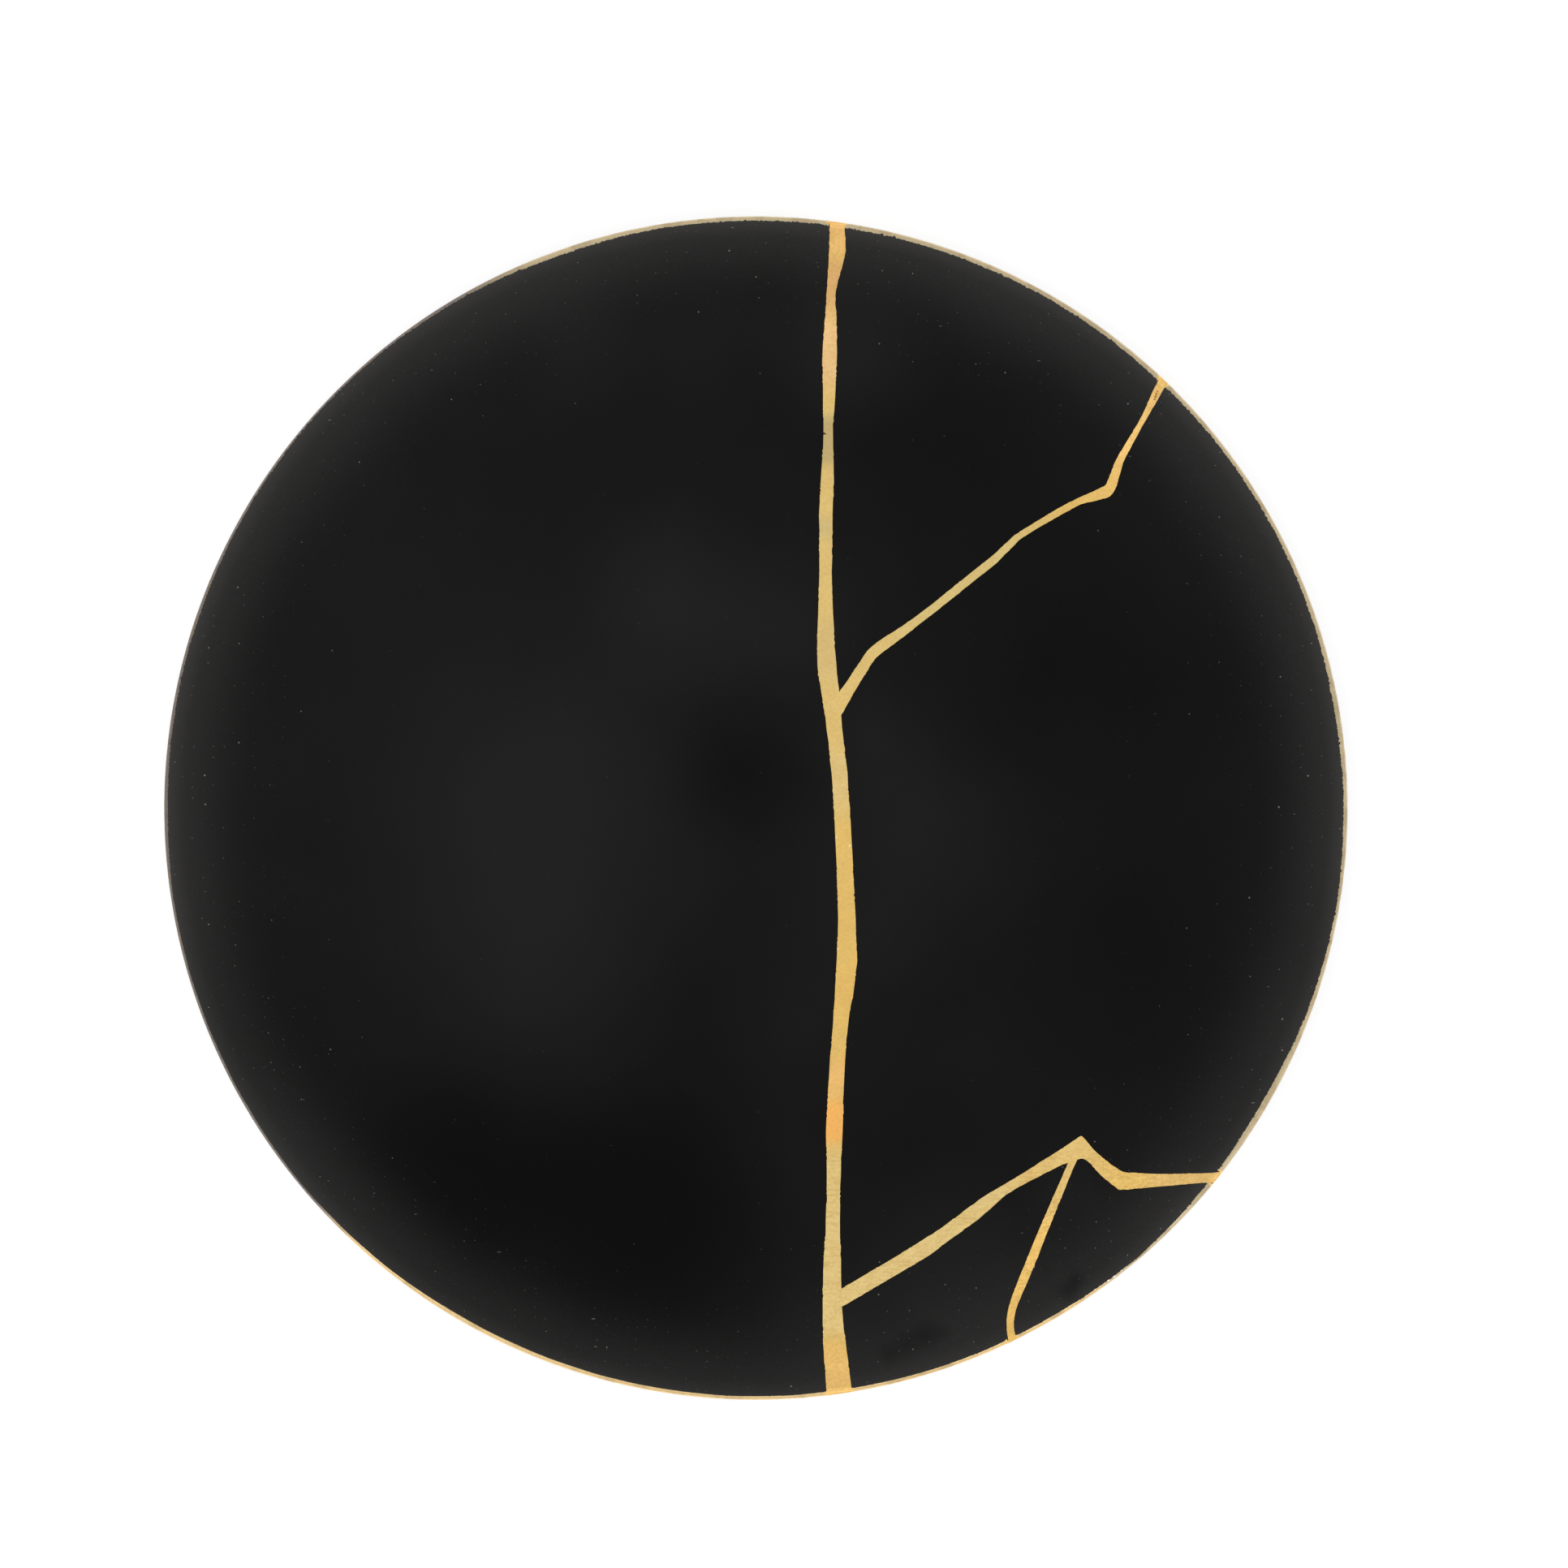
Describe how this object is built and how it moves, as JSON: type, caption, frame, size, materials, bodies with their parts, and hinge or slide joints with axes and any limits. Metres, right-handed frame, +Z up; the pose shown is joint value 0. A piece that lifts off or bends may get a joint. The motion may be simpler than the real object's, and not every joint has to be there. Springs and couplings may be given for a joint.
{
  "type": "kintsugi plate",
  "caption": "Round coupe plate in satin black, broken and rejoined: branching flush gold seams cross it from rim to rim, with a thin gold lip and a foot ring.",
  "frame": {"origin": "middle of the foot ring's underside, on the surface that the plate stands on", "axes": "+Z up through the middle of the dish; +X to the right and +Y to the back, as seen from above"},
  "size_m": [0.27, 0.27, 0.024],
  "materials": {
    "black_glaze": "satin black glaze with a fine orange-peel surface",
    "seam_gold": "flush gold fill, softly brushed and a little mottled",
    "rim_gold": "thin burnished gold with a ragged inner edge"
  },
  "bodies": {
    "root": {"sherd_left": "black_glaze", "sherd_back_right": "black_glaze", "sherd_right": "black_glaze", "sherd_front_right": "black_glaze", "sherd_front": "black_glaze", "gold_seams": "seam_gold", "gold_rim": "rim_gold"}
  },
  "joints": []
}
